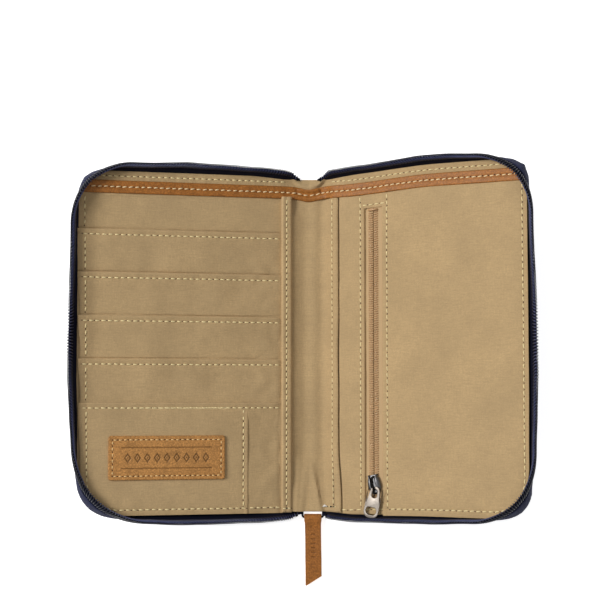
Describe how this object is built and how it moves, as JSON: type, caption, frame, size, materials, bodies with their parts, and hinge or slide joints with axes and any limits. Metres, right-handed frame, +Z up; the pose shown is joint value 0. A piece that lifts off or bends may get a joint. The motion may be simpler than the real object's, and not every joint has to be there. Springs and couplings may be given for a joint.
{
  "type": "passport holder",
  "caption": "Zip-around passport holder, open in a shallow V, with stacked card pockets and a label on one half, a zipped pocket on the other, and a leather zip pull.",
  "frame": {"origin": "centre of the underside of the spine, where the open holder rests", "axes": "+X to the passport half, +Y to the top edge, +Z up to the reader"},
  "size_m": [0.1921, 0.1833, 0.0513],
  "materials": {
    "cover_canvas": "waxed cotton weave",
    "zip_tape_navy": "woven zip tape",
    "zip_coil_navy": "coil zip",
    "inner_cloth": "waxed cotton weave",
    "trim_leather": "smooth vegetable-tanned",
    "label_leather": "smooth vegetable-tanned",
    "pull_leather": "smooth vegetable-tanned",
    "board": "stiffening board",
    "inner_zip_tape": "woven zip tape",
    "inner_zip_coil": "coil zip",
    "nickel": "tumbled nickel plate",
    "gunmetal": "dark plated zinc",
    "black_wire": "black wire"
  },
  "bodies": {
    "spine": {"spine_cover": "cover_canvas", "spine_stiffener": "board", "spine_lining": "inner_cloth", "leather_trim_spine": "trim_leather", "main_slider_body": "gunmetal", "main_slider_bridge": "gunmetal"},
    "left_cover": {"left_outer_cover": "cover_canvas", "left_board": "board", "left_lining": "inner_cloth", "left_zip_tape": "zip_tape_navy", "left_zip_coil": "zip_coil_navy", "left_zip_top_stop": "gunmetal", "left_zip_bottom_stop": "gunmetal", "left_slip_pocket_panel": "inner_cloth", "leather_trim_left": "trim_leather", "card_pocket_1": "inner_cloth", "card_pocket_2": "inner_cloth", "card_pocket_3": "inner_cloth", "card_pocket_4": "inner_cloth", "card_pocket_5": "inner_cloth", "corner_pocket": "inner_cloth", "label_patch": "label_leather", "left_edge_binding": "inner_cloth"},
    "right_cover": {"right_outer_cover": "cover_canvas", "right_board": "board", "right_lining": "inner_cloth", "right_zip_tape": "zip_tape_navy", "right_zip_coil": "zip_coil_navy", "right_zip_top_stop": "gunmetal", "right_zip_bottom_stop": "gunmetal", "passport_pocket_panel": "inner_cloth", "leather_trim_right": "trim_leather", "zip_pocket_back": "inner_cloth", "zip_pocket_narrow_panel": "inner_cloth", "zip_pocket_wide_panel": "inner_cloth", "zip_pocket_top_tab": "inner_cloth", "zip_pocket_bottom_tab": "inner_cloth", "pocket_zip_tape_left": "inner_zip_tape", "pocket_zip_tape_right": "inner_zip_tape", "pocket_zip_coil_left": "inner_zip_coil", "pocket_zip_coil_right": "inner_zip_coil", "pocket_zip_top_stop": "gunmetal", "pocket_zip_bottom_stop": "gunmetal", "right_edge_binding": "inner_cloth"},
    "pocket_slider": {"pocket_slider_body": "gunmetal", "pocket_slider_bridge": "gunmetal"},
    "pocket_pull": {"pocket_pull_tab": "nickel"},
    "main_bail": {"main_pull_bail": "black_wire"},
    "leather_pull_strap": {"leather_pull": "pull_leather"}
  },
  "joints": [
    {"name": "left_cover_fold", "type": "hinge", "parent": "spine", "child": "left_cover", "pos_m": [-0.008, 0, 0.0006], "axis": [0, 1, 0], "range_deg": [-14, 76]},
    {"name": "right_cover_fold", "type": "hinge", "parent": "spine", "child": "right_cover", "pos_m": [0.008, 0, 0.0006], "axis": [0, -1, 0], "range_deg": [-27, 63]},
    {"name": "pocket_slider_travel", "type": "slide", "parent": "right_cover", "child": "pocket_slider", "axis": [0, 1, 0], "range_m": [0, 0.113]},
    {"name": "pocket_pull_swing", "type": "hinge", "parent": "pocket_slider", "child": "pocket_pull", "pos_m": [0.02687, -0.0628, 0.01611], "axis": [-0.891, 0, -0.454], "range_deg": [0, 145]},
    {"name": "main_bail_swing", "type": "hinge", "parent": "spine", "child": "main_bail", "pos_m": [0.0017, -0.0717, 0.00105], "axis": [-1, 0, 0], "range_deg": [0, 10]},
    {"name": "leather_pull_swing", "type": "hinge", "parent": "main_bail", "child": "leather_pull_strap", "pos_m": [0.0017, -0.07536, 0.00156], "axis": [-1, 0, 0], "range_deg": [0, 45]}
  ]
}
